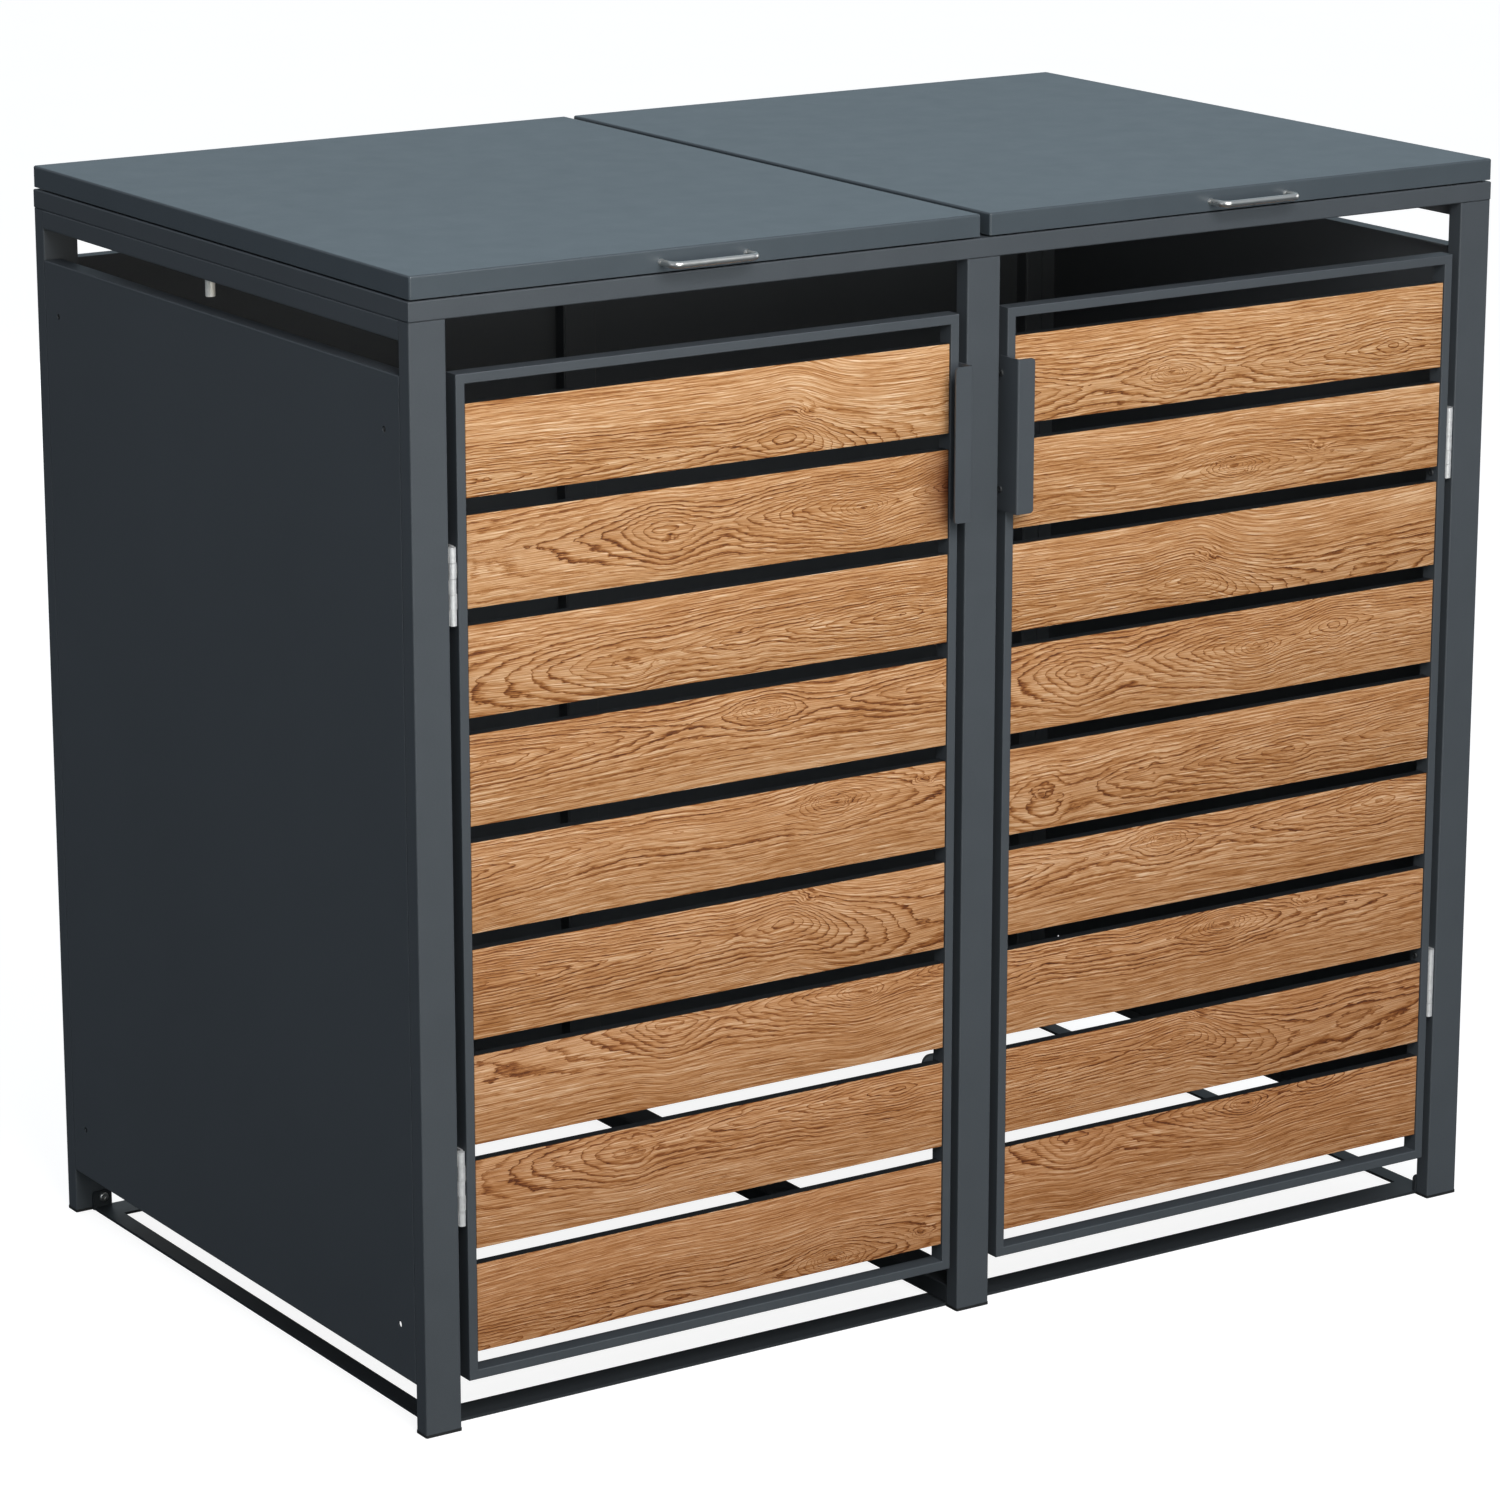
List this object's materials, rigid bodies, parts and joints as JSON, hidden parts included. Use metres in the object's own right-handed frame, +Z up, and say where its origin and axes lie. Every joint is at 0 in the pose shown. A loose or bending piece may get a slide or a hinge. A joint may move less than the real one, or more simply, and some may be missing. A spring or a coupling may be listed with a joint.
{
  "type": "wheelie bin store",
  "caption": "Steel-framed wheelie bin store with sheet side and back panels, front doors of horizontal wood-look slats and folded sheet lids that hinge at the rear.",
  "frame": {"origin": "middle of the bounding box on the ground", "axes": "+X right along the front, seen from in front; +Y from the doors towards the back; +Z up"},
  "size_m": [1.3194, 0.834, 1.16],
  "materials": {
    "frame_paint": "fine matt powder coat, anthracite",
    "panel_paint": "fine matt powder coat, anthracite",
    "base_paint": "fine matt powder coat, anthracite",
    "door_paint": "fine matt powder coat, anthracite",
    "channel_paint": "fine matt powder coat, anthracite",
    "grip_paint": "fine matt powder coat, anthracite",
    "lid_paint": "satin powder coat, anthracite",
    "slat_wood": "oak-look boards, satin",
    "zinc_hinges": "bright zinc plating",
    "zinc_fasteners": "bright zinc plating",
    "zinc_stud": "bright zinc plating",
    "handle_metal": "satin nickel",
    "cap_plastic": "moulded black plastic",
    "buffer_rubber": "moulded black rubber"
  },
  "bodies": {
    "frame": {"post_front_left": "frame_paint", "post_front_centre": "frame_paint", "post_front_right": "frame_paint", "post_rear_left": "frame_paint", "post_rear_centre": "frame_paint", "post_rear_right": "frame_paint", "foot_caps": "cap_plastic", "top_rail_front": "frame_paint", "top_rail_rear": "frame_paint", "top_rail_left": "frame_paint", "top_rail_right": "frame_paint", "top_rail_centre": "frame_paint", "upper_rail_left": "frame_paint", "upper_rail_right": "frame_paint", "upper_rails_rear": "frame_paint", "side_panel_left": "panel_paint", "side_panel_right": "panel_paint", "back_panel_left": "panel_paint", "back_panel_right": "panel_paint", "base_strip_front": "base_paint", "base_strip_rear": "base_paint", "base_strip_left": "base_paint", "base_strip_right": "base_paint", "base_rail_centre": "base_paint", "frame_bolts": "zinc_fasteners", "rail_studs": "zinc_stud", "door_stop_plates": "frame_paint", "lid_buffers": "buffer_rubber", "door_hinge_frame_leaves": "zinc_hinges", "lid_hinge_frame_leaves": "zinc_hinges", "hinge_pins": "zinc_hinges", "frame_hinge_screws": "zinc_fasteners"},
    "door_left": {"door_left_hinge_stile": "door_paint", "door_left_closing_stile": "door_paint", "door_left_top_rail": "door_paint", "door_left_bottom_rail": "door_paint", "door_left_slat_boards": "slat_wood", "door_left_slat_channels": "channel_paint", "door_left_handle": "grip_paint", "door_left_hinge_leaves": "zinc_hinges", "door_left_screws": "zinc_fasteners"},
    "door_right": {"door_right_hinge_stile": "door_paint", "door_right_closing_stile": "door_paint", "door_right_top_rail": "door_paint", "door_right_bottom_rail": "door_paint", "door_right_slat_boards": "slat_wood", "door_right_slat_channels": "channel_paint", "door_right_handle": "grip_paint", "door_right_hinge_leaves": "zinc_hinges", "door_right_screws": "zinc_fasteners"},
    "lid_left": {"lid_left_sheet": "lid_paint", "lid_left_stiffener": "lid_paint", "lid_left_handle": "handle_metal", "lid_left_hinge_leaves": "zinc_hinges", "lid_left_screws": "zinc_fasteners"},
    "lid_right": {"lid_right_sheet": "lid_paint", "lid_right_stiffener": "lid_paint", "lid_right_handle": "handle_metal", "lid_right_hinge_leaves": "zinc_hinges", "lid_right_screws": "zinc_fasteners"}
  },
  "joints": [
    {"name": "door_left_hinge", "type": "hinge", "parent": "frame", "child": "door_left", "pos_m": [-0.61438, -0.38745, 0.554], "axis": [0, 0, -1], "range_deg": [0, 110]},
    {"name": "door_right_hinge", "type": "hinge", "parent": "frame", "child": "door_right", "pos_m": [0.61438, -0.38745, 0.554], "axis": [0, 0, 1], "range_deg": [0, 110]},
    {"name": "lid_left_hinge", "type": "hinge", "parent": "frame", "child": "lid_left", "pos_m": [-0.332, 0.41315, 1.1365], "axis": [-1, 0, 0], "range_deg": [0, 100]},
    {"name": "lid_right_hinge", "type": "hinge", "parent": "frame", "child": "lid_right", "pos_m": [0.332, 0.41315, 1.1365], "axis": [-1, 0, 0], "range_deg": [0, 100]}
  ]
}
